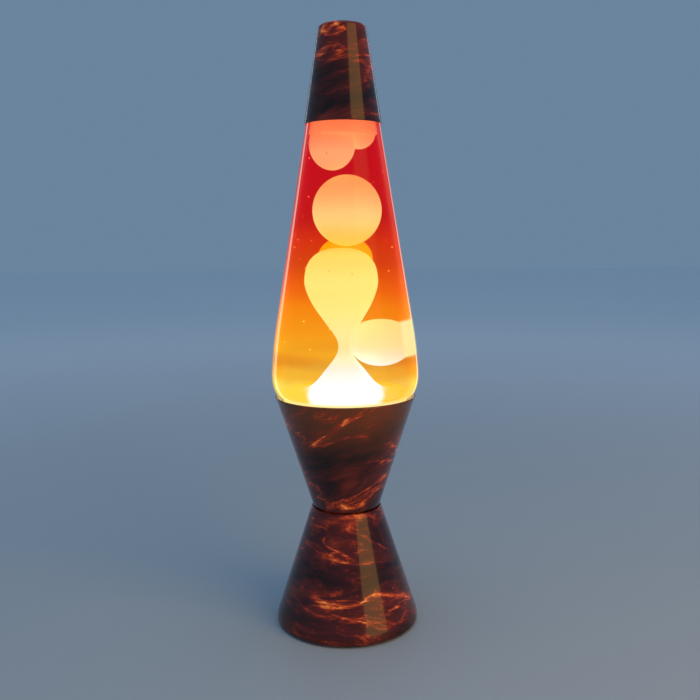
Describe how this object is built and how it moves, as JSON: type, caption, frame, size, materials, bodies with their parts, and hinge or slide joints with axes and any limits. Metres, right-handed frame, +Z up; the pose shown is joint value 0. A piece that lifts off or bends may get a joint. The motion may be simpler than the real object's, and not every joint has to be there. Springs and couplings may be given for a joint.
{
  "type": "lava lamp",
  "caption": "Lava lamp: tapered glass globe of glowing wax blobs in tinted liquid, on an hourglass metal base with a metal cap and a screw-in bulb.",
  "frame": {"origin": "centre of the base on the surface that the feet stand on", "axes": "+Z up the lamp's axis, -Y towards the front, +Y towards the cord grommet"},
  "size_m": [0.0918, 0.0918, 0.368],
  "materials": {
    "lower_cone_print": "glossy black and maroon print with glowing orange veins over spun aluminium",
    "upper_cup_print": "glossy black and maroon print with glowing orange veins over spun aluminium",
    "cap_print": "glossy black and maroon print with glowing orange veins over spun aluminium",
    "plated_steel": "zinc plated",
    "coil_steel": "bare wire",
    "nickel": "nickel plated",
    "solder": "solder",
    "brass": "satin",
    "tinplate": "tinplate",
    "phenolic": "black vitrite",
    "porcelain": "glazed white",
    "cover_plastic": "moulded black",
    "rubber": "matt black",
    "liner_plastic": "soft white",
    "globe_glass": "clear bottle glass",
    "bulb_glass": "clear thin glass",
    "filament": "glowing tungsten",
    "wax": "soft translucent wax lit from below",
    "lamp_liquid": "clear liquid tinted red to orange, lit from below"
  },
  "bodies": {
    "base": {"lower_cone": "lower_cone_print", "upper_cup": "upper_cup_print", "cord_grommet": "rubber", "socket_cage": "plated_steel", "socket_body": "porcelain", "socket_screw_shell": "brass", "centre_contact": "brass", "terminal_screw_1": "brass", "terminal_screw_2": "brass", "socket_screw_1": "plated_steel", "socket_screw_2": "plated_steel", "bottom_cover": "cover_plastic", "cover_lug_1": "plated_steel", "cover_lug_2": "plated_steel", "cover_lug_3": "plated_steel", "cover_screw_1": "plated_steel", "cover_screw_2": "plated_steel", "cover_screw_3": "plated_steel", "rubber_foot_1": "rubber", "rubber_foot_2": "rubber", "rubber_foot_3": "rubber"},
    "bulb_tip": {"bulb_contact": "solder", "bulb_insulator": "phenolic"},
    "bulb": {"bulb_screw_base": "nickel", "bulb_glass": "bulb_glass", "bulb_stem": "bulb_glass", "filament": "filament", "filament_lead_1": "nickel", "filament_lead_2": "nickel"},
    "globe": {"globe_glass": "globe_glass", "closure_liner": "liner_plastic", "crown_closure": "tinplate", "heat_coil": "coil_steel", "wax_column": "wax", "wax_top_mass": "wax"},
    "cap": {"lamp_cap": "cap_print"},
    "middle_blob": {"wax_blob_middle": "wax"},
    "side_blob": {"wax_blob_side": "wax"},
    "rear_blob": {"wax_blob_rear": "wax"}
  },
  "joints": [
    {"name": "globe_lift", "type": "slide", "parent": "base", "child": "globe", "axis": [0, 0, 1], "range_m": [0, 0.08]},
    {"name": "cap_lift", "type": "slide", "parent": "globe", "child": "cap", "axis": [0, 0, 1], "range_m": [0, 0.06]},
    {"name": "bulb_lift", "type": "slide", "parent": "base", "child": "bulb_tip", "axis": [0, 0, 1], "range_m": [0, 0.0127]},
    {"name": "bulb_turn", "type": "hinge", "parent": "bulb_tip", "child": "bulb", "pos_m": [0, 0, 0.0261], "axis": [0, 0, 1], "range_deg": [0, 1620]},
    {"name": "middle_blob_drift", "type": "slide", "parent": "globe", "child": "middle_blob", "axis": [0, 0, 1], "range_m": [-0.0005, 0.0035]},
    {"name": "side_blob_drift", "type": "slide", "parent": "globe", "child": "side_blob", "axis": [0, 0, 1], "range_m": [-0.0025, 0.003]},
    {"name": "rear_blob_drift", "type": "slide", "parent": "globe", "child": "rear_blob", "axis": [0, 0, 1], "range_m": [-0.014, 0.003]}
  ],
  "couplings": [
    {"joint": "bulb_lift", "follows": "bulb_turn", "m_per_rad": 0.00044882}
  ]
}
